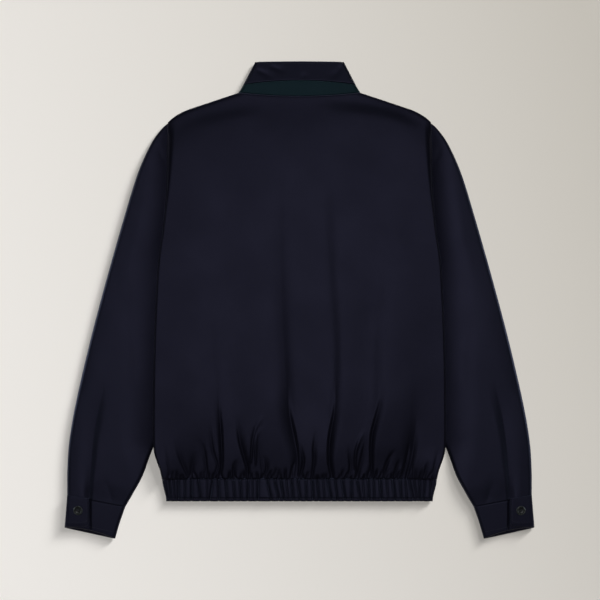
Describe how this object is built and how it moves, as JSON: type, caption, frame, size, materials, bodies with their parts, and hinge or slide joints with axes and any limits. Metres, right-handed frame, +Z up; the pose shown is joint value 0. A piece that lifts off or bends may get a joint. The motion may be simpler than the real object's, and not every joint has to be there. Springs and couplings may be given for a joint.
{
  "type": "bomber jacket",
  "caption": "Dark navy light blouson laid flat with its back up, shirred elastic waistband, dark green collar stand and buttoned cuffs",
  "frame": {"origin": "centre of the base: the middle of the footprint, on the surface that the jacket lies on", "axes": "X across the shoulders, with the sleeve called right at positive X; Y from the hem to the collar; Z up, out of the back"},
  "size_m": [0.7532, 0.7648, 0.0165],
  "materials": {
    "navy_cloth": "smooth dark navy cotton blend with a faint sheen",
    "green_cloth": "dark green matte lining cloth",
    "button_horn": "polished dark grey green resin, faintly marbled",
    "zip_tape": "woven tape with moulded coil edge",
    "zip_metal": "satin grey metal"
  },
  "bodies": {
    "jacket": {"back": "navy_cloth", "front_left": "navy_cloth", "front_right": "navy_cloth", "sleeve_left": "navy_cloth", "sleeve_right": "navy_cloth", "cuff_left": "navy_cloth", "cuff_right": "navy_cloth", "cuff_tab_left": "navy_cloth", "cuff_tab_right": "navy_cloth", "button_left": "button_horn", "button_right": "button_horn", "waistband": "navy_cloth", "collar_stand": "green_cloth", "collar": "navy_cloth", "zip_tape_left": "zip_tape", "zip_tape_right": "zip_tape", "zip_slider": "zip_metal"},
    "zip_pull": {"zip_pull": "zip_metal"}
  },
  "joints": [
    {"name": "pull_swing", "type": "hinge", "parent": "jacket", "child": "zip_pull", "pos_m": [0, 0.3015, 0.0017], "axis": [1, 0, 0], "range_deg": [0, 175]}
  ]
}
